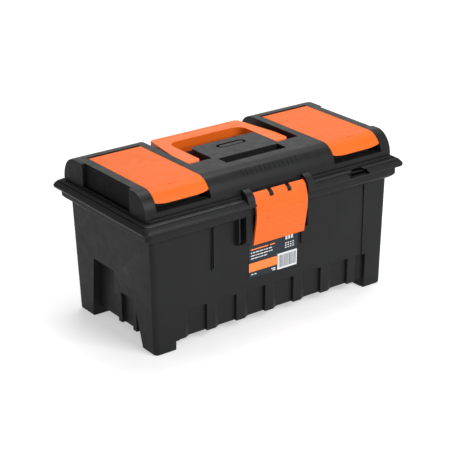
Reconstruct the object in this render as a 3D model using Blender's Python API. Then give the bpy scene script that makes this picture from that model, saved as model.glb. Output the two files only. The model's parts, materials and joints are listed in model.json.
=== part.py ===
"""Sixteen inch plastic carpenter's toolbox with a tote tray, two lidded organizers and a bail handle.

Dimensions are in millimetres and MM turns them into the scene's metres. X runs along the length,
the latch side faces -Y, +Z is up and the origin is at the middle of the footprint, on the ground.
"""
import math

import bmesh
import bpy
from mathutils import Vector

MM = 0.001
GAP = 0.35               # clearance between neighbouring pieces
ARC_STEPS = 6            # segments in a quarter turn of a moulded edge

# Tub: half sizes at the top of the wall, and the draft from there down to the soles
WALL_TOP_Z = 152.0
TUB_HALF_X = 186.0
TUB_HALF_Y = 94.8
DRAFT = 3.5
TUB_CORNER_R = 6.5
SIDE_WALL = 5.0
END_WALL = 3.0
FLOOR_TOP_Z = 17.5
FLOOR_BOTTOM_Z = 14.5
SKIRT_BOTTOM_Z = 12.8
RIM_HALF_X = 196.0
RIM_FRONT_Y = -103.5
RIM_BACK_Y = 102.9
RIM_BOTTOM_Z = 159.0
RIM_TOP_Z = 175.2
RIM_WALL = 2.8
LEDGE_Z = 157.0
LEG_INNER_X = 152.0
FIELD_DEPTH = 1.4        # how far the flat fields lie behind the corner pilasters
FIELD_HALF_X = 147.0
TOOTH_PITCH = 45.6
FIRST_TOOTH_X = -150.0
TOOTH_FLAT = 13.0        # each tooth has a steep side, a flat and a ramp that sinks to the field
TOOTH_RAMP = 8.0
TOOTH_TOP_Z = 50.5
TOOTH_RECESS = 4.4
TEETH_PER_SIDE = 7
SKIRT_WALL_DEPTH = 8.6   # inner side of the thicker wall behind the teeth, below SKIRT_WALL_TOP_Z
SKIRT_WALL_TOP_Z = 54.0
END_RECESS_X = 172.0
END_TOOTH_X = 177.0
END_RECESS_TOP_Z = 86.0
END_RECESS_TOP_Y = (-41.0, 45.0)
END_RECESS_SOLE_Y = (-62.5, 57.0)
END_SLOPE_Z = 70.0       # the recess gets shallower from here up to its top
END_TOOTH_TOP_Z = 55.0
END_TOOTH_FLAT = 8.0
END_TOOTH_RAMP = 8.0
END_TEETH_Y = (-40.0, -6.0)
END_CORNER_Y = 22.0      # above the teeth, only the part behind this line is at full depth
END_CORNER_RAMP = 12.8
END_CORNER_LOW_Z = 49.0
PANEL_HALF_X = 98.0
PANEL_BOTTOM_Z = 95.0
LABEL_BAY_HALF_X = 42.0
LABEL_BAY_TOP_Z = 126.0

# Lid shell
SEAM_Z = 170.0
CROWN_HALF_X = 191.5
CROWN_TOP_Z = 214.0
CROWN_ROUND_Z = 184.0    # height where the rounded front and back of the crown start
CROWN_FRONT_Y = -94.0
CROWN_BACK_Y = 97.0
CROWN_ROUND_Y = 26.0
LID_WALL = 3.0
CAVITY_HALF_X = 184.0
LID_LIP_Y = 92.5
END_RECESS_DEPTH_X = 187.0
WELL_HALF_X = 86.0
WELL_FRONT_Y = -32.0
WELL_FLOOR_Z = 188.0
POCKET_FLOOR_Z = 195.5
ISLAND_HALF_X = 51.5
ISLAND_BACK_Y = 18.0
ISLAND_R = 8.0
GROOVE_X = (-47.0, 47.0)
GROOVE_Y = (-57.0, -38.0)
GROOVE_FLOOR_Z = 207.0
SLOT_HALF_X = 21.0
SLOT_Y = -1.4
SLOT_R = 4.5
SLOT_FLOOR_Z = 208.0

# Organizers: an opening in the crown, a drop-in bin and an orange lid, on each side
OPENING_X = (96.9, 175.6)
OPENING_BACK_Y = 66.2
BIN_LEDGE_Z = 202.0
BIN_LEDGE = 3.2
BIN_FRONT_Y = -78.0
BIN_BACK_Y = 54.5
BIN_TOP_Z = 207.8
BIN_BOTTOM_Z = 166.5
BIN_WALL = 1.8
FINGER_GAP_Z = 190.0
COVER_X = (97.6, 174.9)
COVER_THICKNESS = 3.0
COVER_AXIS_Y = 60.5
COVER_AXIS_Z = 209.3
COVER_LIP_Z = 198.3
COVER_BARREL_LENGTH = 13.0
COVER_ROD_R = 1.1
DIVIDER_THICKNESS = 1.5
DIVIDERS_PER_BIN = 2

# Bail handle, folded back into the well
HANDLE_AXIS_Y = -13.0
HANDLE_AXIS_Z = 203.2
HANDLE_TOP_Z = 210.0
HANDLE_BOTTOM_Z = 197.5
GRIP_BOTTOM_Z = 191.5
HANDLE_BACK_Y = 83.0
HANDLE_GRIP_FRONT_Y = 59.0
HANDLE_CORNER_X = 70.5
ARM_OUTER_X = 80.5
ARM_INNER_X = 58.5
ARM_END_R = 6.8
ARM_TIP_R = 8.5
HANDLE_PIN_R = 2.5

# Front latch
LATCH_HALF_X = 40.0
LATCH_AXIS_Y = -101.8
LATCH_AXIS_Z = 179.5
LATCH_PIN_R = 1.5
LATCH_BARREL_R = 3.4
LATCH_BOTTOM_Z = 116.0
LATCH_THICKNESS = 2.6
LATCH_WEB_X = 14.0
LATCH_WEB_WIDTH = 5.0
EAR_X = (41.4, 52.0)
CHEEK_X = (-51.5, -41.2)
RIB_X = (-62.5, -60.6)
SIDE_SLOTS_X = ((-60.6, -51.5), (41.2, 52.0))
SIDE_SLOT_LOW_Z = 117.5
SIDE_SLOT_Y = -91.4
CATCH_Y = -99.4
CATCH_Z = (128.0, 131.0)

# Rear hinges
HINGE_AXIS_Y = 107.4
HINGE_AXIS_Z = 166.0
HINGE_X = 115.0
KNUCKLE_R = 3.7
KNUCKLE_HALF = 9.6
HINGE_PIN_R = 1.5
HINGE_HALF = 20.0

# Tote tray and label
TRAY_BOTTOM_Z = 112.0
TRAY_WALL = 2.0
TRAY_RIM_Z = 159.4
TRAY_GRIP_TOP_Z = 181.0
TRAY_DIVIDER_X = 62.0
TRAY_RAIL_HALF_X = 46.0  # the rail on the middle wall, by which the tray is lifted
TRAY_RAIL_HALF_Y = 7.5
TRAY_RAIL_HEIGHT = 9.0
LABEL_X = (-40.4, 37.0)
LABEL_Z = (66.5, 122.0)
LABEL_THICKNESS = 0.5


# ---------------------------------------------------------------- materials and objects

def make_material(name, colour, roughness, metallic=0.0):
    """A plain Principled material."""
    material = bpy.data.materials.new(name)
    material.use_nodes = True
    shader = material.node_tree.nodes["Principled BSDF"]
    shader.inputs["Base Color"].default_value = (*colour, 1.0)
    shader.inputs["Roughness"].default_value = roughness
    shader.inputs["Metallic"].default_value = metallic
    return material


def add_axis(name, place, parent=None):
    """An empty on a joint axis, which carries the pieces of one moving body."""
    empty = bpy.data.objects.new(name, None)
    empty["place"] = place
    empty.location = Vector(place) * MM
    if parent is not None:
        empty.parent = parent
        empty.location = (Vector(place) - Vector(parent["place"])) * MM
    bpy.context.scene.collection.objects.link(empty)
    return empty


def finish_mesh(name, bm, origin):
    """Turn a mesh drawn in millimetres around the world origin into mesh data around origin."""
    bmesh.ops.remove_doubles(bm, verts=bm.verts, dist=0.01)
    bmesh.ops.recalc_face_normals(bm, faces=bm.faces)
    for vert in bm.verts:
        vert.co = (vert.co - Vector(origin)) * MM
    mesh = bpy.data.meshes.new(name)
    bm.to_mesh(mesh)
    bm.free()
    return mesh


def add_piece(name, bm, material, axis=None):
    """One named sub-part; a piece that moves is parented to the empty on its axis."""
    origin = axis["place"] if axis is not None else (0.0, 0.0, 0.0)
    piece = bpy.data.objects.new(name, finish_mesh(name, bm, origin))
    piece.data.materials.append(material)
    bpy.context.scene.collection.objects.link(piece)
    if axis is not None:
        piece.parent = axis
    return piece


def shade_round(piece, angle=32.0):
    """Smooth shading with the hard moulded edges kept sharp."""
    piece.data.shade_smooth()
    piece.data.set_sharp_from_angle(angle=math.radians(angle))


def boolean(target, name, bm, operation):
    """Apply one EXACT Boolean of a helper mesh to target, and return the helper."""
    helper = bpy.data.objects.new(name, finish_mesh(name, bm, (0.0, 0.0, 0.0)))
    helper.display_type = "WIRE"
    helper.hide_render = True
    bpy.context.scene.collection.objects.link(helper)
    modifier = target.modifiers.new(name, "BOOLEAN")
    modifier.operation = operation
    modifier.solver = "EXACT"
    modifier.object = helper
    return helper


def cut(target, name, bm):
    return boolean(target, name, bm, "DIFFERENCE")


def join(target, name, bm):
    return boolean(target, name, bm, "UNION")


# ---------------------------------------------------------------- drawing helpers

def loft(bm, rings, closed=False):
    """Skin rings that have the same number of points, capped at both ends unless closed."""
    rows = [[bm.verts.new(point) for point in ring] for ring in rings]
    pairs = list(zip(rows, rows[1:]))
    if closed:
        pairs.append((rows[-1], rows[0]))
    for low, high in pairs:
        for i in range(len(low)):
            j = (i + 1) % len(low)
            bm.faces.new((low[i], low[j], high[j], high[i]))
    if not closed:
        bm.faces.new(rows[0])
        bm.faces.new(rows[-1])


def arc(cx, cy, rx, ry, start, end, steps=ARC_STEPS):
    """Points along an ellipse arc, with the angles in degrees."""
    angles = [math.radians(start + (end - start) * i / steps) for i in range(steps + 1)]
    return [(cx + rx * math.cos(a), cy + ry * math.sin(a)) for a in angles]


def rounded_rect(x0, x1, y0, y1, r):
    """Outline of a rectangle with round corners."""
    outline = arc(x1 - r, y1 - r, r, r, 0.0, 90.0)
    outline += arc(x0 + r, y1 - r, r, r, 90.0, 180.0)
    outline += arc(x0 + r, y0 + r, r, r, 180.0, 270.0)
    outline += arc(x1 - r, y0 + r, r, r, 270.0, 360.0)
    return outline


def ring(half_x, front_y, back_y, r, z):
    """A level rounded rectangle, symmetric in X."""
    return [(x, y, z) for x, y in rounded_rect(-half_x, half_x, front_y, back_y, r)]


def prism_x(bm, profile, x0, x1):
    """Extrude a (y, z) profile along X."""
    loft(bm, [[(x, y, z) for y, z in profile] for x in (x0, x1)])


def prism_y(bm, profile, y0, y1):
    """Extrude an (x, z) profile along Y."""
    loft(bm, [[(x, y, z) for x, z in profile] for y in (y0, y1)])


def prism_z(bm, outline, z0, z1):
    """Extrude an (x, y) outline along Z."""
    loft(bm, [[(x, y, z) for x, y in outline] for z in (z0, z1)])


def box(bm, x, y, z):
    """A box from three (low, high) pairs."""
    prism_z(bm, [(x[0], y[0]), (x[1], y[0]), (x[1], y[1]), (x[0], y[1])], z[0], z[1])


def mirrored_box(bm, x, y, z):
    """The same box on both sides of the X = 0 plane."""
    box(bm, x, y, z)
    box(bm, (-x[1], -x[0]), y, z)


def rod(bm, y, z, r, x0, x1, steps=20):
    """A round bar along X."""
    outline = [(y + r * math.cos(2 * math.pi * i / steps), z + r * math.sin(2 * math.pi * i / steps))
               for i in range(steps)]
    prism_x(bm, outline, x0, x1)


def wall_y(z, depth=0.0):
    """Y of the tub's front wall at height z, depth behind the corner pilasters."""
    return -(TUB_HALF_Y - DRAFT * (WALL_TOP_Z - z) / WALL_TOP_Z - depth)


def wall_x(z):
    """Half length of the tub's end walls at height z."""
    return TUB_HALF_X - DRAFT * (WALL_TOP_Z - z) / WALL_TOP_Z


# ---------------------------------------------------------------- tub

def tub_outside():
    bm = bmesh.new()
    rings = [
        ring(wall_x(0.0), wall_y(0.0), -wall_y(0.0), TUB_CORNER_R, 0.0),
        ring(TUB_HALF_X, -TUB_HALF_Y, TUB_HALF_Y, TUB_CORNER_R, WALL_TOP_Z),
        ring(TUB_HALF_X + 4.6, -TUB_HALF_Y - 3.8, TUB_HALF_Y + 3.6, TUB_CORNER_R, WALL_TOP_Z + 2.0),
        ring(RIM_HALF_X - 2.0, RIM_FRONT_Y + 1.5, RIM_BACK_Y - 1.5, TUB_CORNER_R, WALL_TOP_Z + 4.5),
        ring(RIM_HALF_X, RIM_FRONT_Y, RIM_BACK_Y, TUB_CORNER_R, RIM_BOTTOM_Z),
        ring(RIM_HALF_X, RIM_FRONT_Y, RIM_BACK_Y, TUB_CORNER_R, RIM_TOP_Z),
    ]
    loft(bm, rings)
    return bm


def tub_hollow():
    """The room inside: straight walls up to the ledge, then the wider rim."""
    bm = bmesh.new()
    low_x = wall_x(FLOOR_TOP_Z) - END_WALL
    low_y = wall_y(FLOOR_TOP_Z, SIDE_WALL)
    top_x = wall_x(LEDGE_Z) - END_WALL
    top_y = wall_y(LEDGE_Z, SIDE_WALL)
    rim = (RIM_HALF_X - RIM_WALL, RIM_FRONT_Y + RIM_WALL, RIM_BACK_Y - RIM_WALL)
    rings = [
        ring(low_x, low_y, -low_y, 5.0, FLOOR_TOP_Z),
        ring(top_x, top_y, -top_y, 5.0, LEDGE_Z - 0.5),
        ring(rim[0] - 1.0, rim[1] + 1.0, rim[2] - 1.0, 5.0, LEDGE_Z),
        ring(rim[0], rim[1], rim[2], 5.0, LEDGE_Z + 2.0),
        ring(rim[0], rim[1], rim[2], 5.0, RIM_TOP_Z + 10.0),
    ]
    loft(bm, rings)
    return bm


def skirt_wall():
    """The thicker lower part of the long walls, inside, which backs the recesses between the teeth."""
    bm = bmesh.new()
    top = SKIRT_WALL_TOP_Z
    for side in (-1, 1):
        profile = [(side * 130.0, 0.0), (-side * wall_y(0.0, SKIRT_WALL_DEPTH), 0.0),
                   (-side * wall_y(top, SKIRT_WALL_DEPTH), top),
                   (-side * wall_y(top, SIDE_WALL - 1.0), top + 4.6), (side * 130.0, top + 4.6)]
        prism_x(bm, profile, -LEG_INNER_X - 3.5, LEG_INNER_X + 3.5)
    return bm


def recess_edges(z):
    """Front and back edge of the end recess, which is narrower at the top than at the soles."""
    t = z / END_RECESS_TOP_Z
    return [sole + (top - sole) * t for sole, top in zip(END_RECESS_SOLE_Y, END_RECESS_TOP_Y)]


def recess_block(levels, grow):
    """A block in each end recess, from (z, inner x) levels, with its sides grown outwards."""
    bm = bmesh.new()
    for side in (-1, 1):
        rows = []
        for z, inner_x in levels:
            front, back = recess_edges(z)
            rows.append([(side * inner_x, front - grow, z), (side * 220.0, front - grow, z),
                         (side * 220.0, back + grow, z), (side * inner_x, back + grow, z)])
        loft(bm, rows)
    return bm


def end_recess():
    """The recess between the legs of each end wall, as deep as its teeth, with a sloped ceiling."""
    levels = ((-5.0, END_TOOTH_X), (END_SLOPE_Z, END_TOOTH_X),
              (END_RECESS_TOP_Z, wall_x(END_RECESS_TOP_Z) + 0.5))
    return recess_block(levels, 0.0)


def end_room():
    """Room that the hollow leaves for the whole recess and the wall around it."""
    inner_x = END_RECESS_X - END_WALL
    return recess_block(((-5.0, inner_x), (END_RECESS_TOP_Z + END_WALL, inner_x)), END_WALL)


def end_field(levels, y_low, y_high, ramp=END_TOOTH_RAMP):
    """A field at full depth in each end recess, from y_low, where a ramp ends, to a steep side at y_high.

    None stands for the edge of the recess, which has no ramp.
    """
    bm = bmesh.new()
    outer_x = 200.0
    fade = ramp * (outer_x - END_RECESS_X) / (END_TOOTH_X - END_RECESS_X)
    for side in (-1, 1):
        rows = []
        for z in levels:
            front, back = [edge + inset for edge, inset in zip(recess_edges(z), (0.2, -0.2))]
            low = (front, front) if y_low is None else (y_low, y_low - fade)
            high = back if y_high is None else y_high
            rows.append([(side * END_RECESS_X, low[0], z), (side * outer_x, low[1], z),
                         (side * outer_x, high, z), (side * END_RECESS_X, high, z)])
        loft(bm, rows)
    return bm


def tub_fields(side):
    """The flat front (side -1) or back (side 1) field, set behind the corner pilasters."""
    bm = bmesh.new()
    y_low = -side * wall_y(-5.0, FIELD_DEPTH)
    y_top = -side * wall_y(WALL_TOP_Z, FIELD_DEPTH)
    outside = side * 120.0
    profile = [(y_low, -5.0), (y_top, WALL_TOP_Z - 0.5), (outside, WALL_TOP_Z - 0.5), (outside, -5.0)]
    prism_x(bm, profile, -FIELD_HALF_X, FIELD_HALF_X)
    return bm


def tooth_gaps(side):
    """Recesses between the louver-like teeth: a ramp, a flat floor and a steep side."""
    bm = bmesh.new()
    proud = 1.0
    for i in range(TEETH_PER_SIDE):
        left = FIRST_TOOTH_X + i * TOOTH_PITCH + TOOTH_FLAT
        right = min(left + TOOTH_PITCH - TOOTH_FLAT, LEG_INNER_X + 1.0)
        start = left - TOOTH_RAMP * proud / TOOTH_RECESS
        rows = []
        for z in (-2.0, TOOTH_TOP_Z):
            face = -side * wall_y(z, FIELD_DEPTH - proud)
            floor = -side * wall_y(z, FIELD_DEPTH + TOOTH_RECESS)
            outside = side * 130.0
            rows.append([(start, face, z), (left + TOOTH_RAMP, floor, z), (right, floor, z),
                         (right, outside, z), (start, outside, z)])
        loft(bm, rows)
    return bm


def leg_gap_along():
    """The space between the front legs and between the back legs, right through."""
    bm = bmesh.new()
    box(bm, (-LEG_INNER_X, LEG_INNER_X), (-130.0, 130.0), (-5.0, SKIRT_BOTTOM_Z))
    return bm


def leg_gap_across():
    """The space between the legs of each end, right through."""
    bm = bmesh.new()
    low, high = -6.0, SKIRT_BOTTOM_Z + 0.02
    front_low, back_low = recess_edges(low)
    front_high, back_high = recess_edges(high)
    profile = [(front_low + GAP, low), (front_high + GAP, high),
               (back_high - GAP, high), (back_low - GAP, low)]
    prism_x(bm, profile, -230.0, 230.0)
    return bm


def under_pocket():
    """The shallow pocket inside the skirt."""
    bm = bmesh.new()
    skirt_y = wall_y(0.0, SKIRT_WALL_DEPTH)
    box(bm, (-LEG_INNER_X + 3.0, LEG_INNER_X - 3.0), (skirt_y, -skirt_y), (-7.0, FLOOR_BOTTOM_Z))
    return bm


def leg_hollows():
    """Each leg is hollow, open to the inside of the tub."""
    bm = bmesh.new()
    x = (LEG_INNER_X + 3.0, wall_x(0.0) - 4.0)
    top = FLOOR_TOP_Z + 3.0
    mirrored_box(bm, x, (wall_y(0.0) + 5.5, END_RECESS_SOLE_Y[0] - 3.5), (3.0, top))
    mirrored_box(bm, x, (END_RECESS_SOLE_Y[1] + 3.5, -wall_y(0.0) - 5.5), (3.0, top))
    return bm


def front_panel():
    """The raised panel around the label bay, as an upside-down U."""
    bm = bmesh.new()
    top = WALL_TOP_Z + 3.0
    profile = [(-PANEL_HALF_X, top), (-PANEL_HALF_X, PANEL_BOTTOM_Z),
               (-LABEL_BAY_HALF_X, PANEL_BOTTOM_Z), (-LABEL_BAY_HALF_X, LABEL_BAY_TOP_Z),
               (LABEL_BAY_HALF_X, LABEL_BAY_TOP_Z), (LABEL_BAY_HALF_X, PANEL_BOTTOM_Z),
               (PANEL_HALF_X, PANEL_BOTTOM_Z), (PANEL_HALF_X, top)]
    prism_y(bm, profile, -TUB_HALF_Y + 0.1, -TUB_HALF_Y + 3.4)
    return bm


def latch_side_slots():
    """Deep upright slots in the panel beside the latch."""
    bm = bmesh.new()
    for x in SIDE_SLOTS_X:
        box(bm, x, (-115.0, SIDE_SLOT_Y), (SIDE_SLOT_LOW_Z, WALL_TOP_Z + 0.6))
    return bm


def latch_cheeks():
    """A broad guard beside the latch and a thin rib beyond its slot, both on the left."""
    bm = bmesh.new()
    inner = -TUB_HALF_Y + 3.2
    for x, reach, low in ((CHEEK_X, -103.2, 119.0), (RIB_X, -103.0, 120.0)):
        profile = [(inner, low), (-TUB_HALF_Y - 3.0, low), (reach, low + 5.0), (reach, RIM_BOTTOM_Z),
                   (RIM_FRONT_Y + 2.0, RIM_BOTTOM_Z), (-98.0, LEDGE_Z - 1.5), (inner, LEDGE_Z - 1.5)]
        prism_x(bm, profile, x[0], x[1])
    return bm


def catch():
    """The wedge that the latch hooks under."""
    bm = bmesh.new()
    inner = -TUB_HALF_Y + 3.1
    profile = [(inner, CATCH_Z[0]), (CATCH_Y, CATCH_Z[0]), (CATCH_Y, CATCH_Z[1]), (inner, CATCH_Z[1] + 7.0)]
    prism_x(bm, profile, -30.0, 30.0)
    return bm


def rim_dip():
    """The front rim is lower behind the latch and its ears."""
    bm = bmesh.new()
    half = EAR_X[1] + 0.8
    box(bm, (-half, half), (-112.0, -96.0), (SEAM_Z - 0.4, RIM_TOP_Z + 4.0))
    return bm


def tub_knuckles():
    """Two outer knuckles per rear hinge, webbed to the rim."""
    bm = bmesh.new()
    for centre in (-HINGE_X, HINGE_X):
        for low, high in ((-HINGE_HALF, -KNUCKLE_HALF - GAP), (KNUCKLE_HALF + GAP, HINGE_HALF)):
            profile = arc(HINGE_AXIS_Y, HINGE_AXIS_Z, KNUCKLE_R, KNUCKLE_R, -60.0, 90.0, 10)
            profile += [(RIM_BACK_Y - 1.2, HINGE_AXIS_Z + KNUCKLE_R),
                        (RIM_BACK_Y - 1.2, HINGE_AXIS_Z - KNUCKLE_R - 3.0)]
            prism_x(bm, profile, centre + low, centre + high)
    return bm


def hinge_bores():
    bm = bmesh.new()
    for centre in (-HINGE_X, HINGE_X):
        half = HINGE_HALF + 5.0
        rod(bm, HINGE_AXIS_Y, HINGE_AXIS_Z, HINGE_PIN_R + 0.3, centre - half, centre + half)
    return bm


def build_tub(material):
    tub = add_piece("tub", tub_outside(), material)
    cut(tub, "cut_field_front", tub_fields(-1))
    cut(tub, "cut_field_back", tub_fields(1))
    cut(tub, "cut_end_recess", end_recess())
    hollow = cut(tub, "cut_hollow", tub_hollow())
    cut(hollow, "keep_end_recess_wall", end_room())
    cut(hollow, "keep_skirt_wall", skirt_wall())
    join(hollow, "join_leg_hollows", leg_hollows())
    ramp_ends = [y + END_TOOTH_FLAT + END_TOOTH_RAMP for y in END_TEETH_Y]
    levels = (-2.0, END_TOOTH_TOP_Z)
    cut(tub, "cut_end_field_front", end_field(levels, None, END_TEETH_Y[0]))
    cut(tub, "cut_end_field_middle", end_field(levels, ramp_ends[0], END_TEETH_Y[1]))
    cut(tub, "cut_end_field_back", end_field((-2.0, END_CORNER_LOW_Z + 1.0), ramp_ends[1], None))
    corner_levels = (END_CORNER_LOW_Z, END_RECESS_TOP_Z)
    cut(tub, "cut_end_corner", end_field(corner_levels, END_CORNER_Y, None, END_CORNER_RAMP))
    cut(tub, "cut_tooth_gaps_front", tooth_gaps(-1))
    cut(tub, "cut_tooth_gaps_back", tooth_gaps(1))
    cut(tub, "cut_leg_gap_along", leg_gap_along())
    cut(tub, "cut_leg_gap_across", leg_gap_across())
    cut(tub, "cut_under_pocket", under_pocket())
    join(tub, "join_front_panel", front_panel())
    cut(tub, "cut_latch_side_slots", latch_side_slots())
    join(tub, "join_latch_cheeks", latch_cheeks())
    join(tub, "join_catch", catch())
    cut(tub, "cut_rim_dip", rim_dip())
    join(tub, "join_knuckles", tub_knuckles())
    cut(tub, "cut_hinge_bores", hinge_bores())
    shade_round(tub)
    return tub


# ---------------------------------------------------------------- lid shell

def crown_profile(inset, base_z):
    """Outline of the crown in (y, z), pulled in by inset."""
    ry = CROWN_ROUND_Y - inset
    rz = CROWN_TOP_Z - CROWN_ROUND_Z - inset
    profile = [(CROWN_FRONT_Y + inset, base_z)]
    profile += arc(CROWN_FRONT_Y + CROWN_ROUND_Y, CROWN_ROUND_Z, ry, rz, 180.0, 90.0, 10)
    profile += arc(CROWN_BACK_Y - CROWN_ROUND_Y, CROWN_ROUND_Z, ry, rz, 90.0, 0.0, 10)
    profile.append((CROWN_BACK_Y - inset, base_z))
    return profile


def crown_solid():
    """The domed crown with rounded ends."""
    bm = bmesh.new()
    stations = [(-CROWN_HALF_X, 4.5), (-CROWN_HALF_X + 1.4, 1.4), (-CROWN_HALF_X + 4.5, 0.0)]
    stations += [(-x, inset) for x, inset in reversed(stations)]
    loft(bm, [[(x, y, z) for y, z in crown_profile(inset, SEAM_Z + 6.0)] for x, inset in stations])
    return bm


def flange_solid():
    """The rolled flange that covers the rim of the tub."""
    bm = bmesh.new()
    rings = [
        ring(203.4, -109.8, 110.2, 8.0, SEAM_Z),
        ring(204.0, -110.2, 110.6, 8.0, SEAM_Z + 2.0),
        ring(203.2, -109.2, 109.6, 8.0, SEAM_Z + 4.5),
        ring(200.5, -106.4, 106.8, 7.5, SEAM_Z + 7.5),
        ring(196.5, -101.5, 101.9, 7.0, SEAM_Z + 9.8),
        ring(193.4, -96.0, 98.6, 6.5, SEAM_Z + 11.0),
        ring(188.0, -90.0, 92.0, 6.0, SEAM_Z + 11.2),
    ]
    loft(bm, rings)
    return bm


def rim_channel():
    """The channel under the flange that the rim of the tub enters."""
    bm = bmesh.new()
    rings = [
        ring(200.6, -107.0, 107.0, 6.0, SEAM_Z - 10.0),
        ring(200.6, -107.0, 107.0, 6.0, SEAM_Z + 2.0),
        ring(198.0, -104.6, 104.6, 6.0, SEAM_Z + 5.6),
        ring(188.0, -LID_LIP_Y - 2.7, LID_LIP_Y + 2.7, 6.0, SEAM_Z + 5.6),
        ring(188.0, -LID_LIP_Y - 2.7, LID_LIP_Y + 2.7, 6.0, SEAM_Z - 10.0),
    ]
    loft(bm, rings, closed=True)
    return bm


def lid_hollow():
    """The room under the crown, before the deck features are kept out of it."""
    bm = bmesh.new()
    profile = crown_profile(LID_WALL, CROWN_ROUND_Z - 4.0)
    prism_x(bm, profile, -CAVITY_HALF_X, CAVITY_HALF_X)
    return bm


def lip_hollow():
    """The room inside the inner lip of the flange."""
    bm = bmesh.new()
    loft(bm, [ring(185.3, -LID_LIP_Y, LID_LIP_Y, 7.0, z) for z in (SEAM_Z - 5.0, CROWN_ROUND_Z - 1.0)])
    return bm


def well_walls():
    """Material kept around the handle well, the groove and the slot."""
    bm = bmesh.new()
    wall = LID_WALL
    box(bm, (-WELL_HALF_X - wall, WELL_HALF_X + wall), (WELL_FRONT_Y - wall, 120.0),
        (WELL_FLOOR_Z - wall, 230.0))
    return bm


def island_room():
    """The island between the handle arms is hollow too."""
    bm = bmesh.new()
    wall = LID_WALL + 2.0
    box(bm, (-ISLAND_HALF_X + wall, ISLAND_HALF_X - wall), (WELL_FRONT_Y - 6.0, ISLAND_BACK_Y - wall),
        (WELL_FLOOR_Z - 8.0, CROWN_TOP_Z - LID_WALL))
    return bm


def groove_walls():
    """Material kept under the groove and the slot in the deck."""
    bm = bmesh.new()
    wall = LID_WALL
    box(bm, (GROOVE_X[0] - wall, GROOVE_X[1] + wall), (GROOVE_Y[0] - wall, GROOVE_Y[1] + wall),
        (GROOVE_FLOOR_Z - wall, 230.0))
    half = SLOT_HALF_X + SLOT_R + wall
    box(bm, (-half, half), (SLOT_Y - SLOT_R - wall, SLOT_Y + SLOT_R + wall), (SLOT_FLOOR_Z - wall, 231.0))
    return bm


def organizer_walls():
    """Material kept around the organizer openings: the collar and the bin ledge."""
    bm = bmesh.new()
    wall = LID_WALL
    x = (OPENING_X[0] - wall, OPENING_X[1] + wall)
    mirrored_box(bm, x, (BIN_FRONT_Y - GAP - wall, OPENING_BACK_Y + wall), (BIN_LEDGE_Z - 2.4, 230.0))
    return bm


def finger_gap_walls():
    """Material kept under and beside the finger gaps."""
    bm = bmesh.new()
    wall = LID_WALL
    x = (OPENING_X[0] - wall + 0.01, OPENING_X[1] + wall - 0.01)
    mirrored_box(bm, x, (-120.0, BIN_FRONT_Y - 1.0), (FINGER_GAP_Z - 2.6, 232.0))
    return bm


def handle_well():
    """The space behind and beside the island that the handle folds into."""
    bm = bmesh.new()
    front = ISLAND_BACK_Y - ISLAND_R
    corner_x = ISLAND_HALF_X - ISLAND_R
    outline = [(WELL_HALF_X, 130.0), (-WELL_HALF_X, 130.0), (-WELL_HALF_X, front)]
    outline += arc(-corner_x, front, ISLAND_R, ISLAND_R, 180.0, 90.0)
    outline += arc(corner_x, front, ISLAND_R, ISLAND_R, 90.0, 0.0)
    outline.append((WELL_HALF_X, front))
    prism_z(bm, outline, WELL_FLOOR_Z, 240.0)
    return bm


def arm_pockets():
    """The pocket around each handle arm, in front of the well."""
    bm = bmesh.new()
    mirrored_box(bm, (ISLAND_HALF_X + 0.01, WELL_HALF_X - 0.01), (WELL_FRONT_Y, ISLAND_BACK_Y + 3.0),
                 (POCKET_FLOOR_Z, 242.0))
    return bm


def organizer_openings():
    """Through openings for the bins, with the space for the covers and the finger gaps."""
    bm = bmesh.new()
    mirrored_box(bm, OPENING_X, (BIN_FRONT_Y - GAP, OPENING_BACK_Y), (BIN_LEDGE_Z, 240.0))
    return bm


def bin_holes():
    """The hole inside the ledge that carries each bin."""
    bm = bmesh.new()
    x = (OPENING_X[0] + BIN_LEDGE, OPENING_X[1] - BIN_LEDGE)
    y = (BIN_FRONT_Y + BIN_LEDGE - GAP, BIN_BACK_Y - BIN_LEDGE + GAP)
    mirrored_box(bm, x, y, (150.0, BIN_LEDGE_Z + 1.0))
    return bm


def finger_gaps():
    """The step in the front of the crown that takes the cover's lip and a fingertip."""
    bm = bmesh.new()
    mirrored_box(bm, (OPENING_X[0] + 0.01, OPENING_X[1] - 0.01), (-125.0, BIN_FRONT_Y - GAP + 0.5),
                 (FINGER_GAP_Z, 241.0))
    return bm


def crown_end_recesses():
    """The end faces lie back between the four round shoulders."""
    bm = bmesh.new()
    mirrored_box(bm, (END_RECESS_DEPTH_X, 230.0), (-58.0, 50.0), (SEAM_Z + 11.5, 240.0))
    return bm


def deck_groove():
    bm = bmesh.new()
    box(bm, GROOVE_X, GROOVE_Y, (GROOVE_FLOOR_Z, 240.0))
    return bm


def deck_slot():
    bm = bmesh.new()
    outline = arc(SLOT_HALF_X, SLOT_Y, SLOT_R, SLOT_R, -90.0, 90.0)
    outline += arc(-SLOT_HALF_X, SLOT_Y, SLOT_R, SLOT_R, 90.0, 270.0)
    prism_z(bm, outline, SLOT_FLOOR_Z, 240.0)
    return bm


def latch_bay():
    """The bay in the front flange that the latch turns in."""
    bm = bmesh.new()
    half = LATCH_HALF_X + 1.2
    box(bm, (-half, half), (-130.0, -LID_LIP_Y - 2.7), (SEAM_Z - 8.0, 186.5))
    return bm


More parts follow.
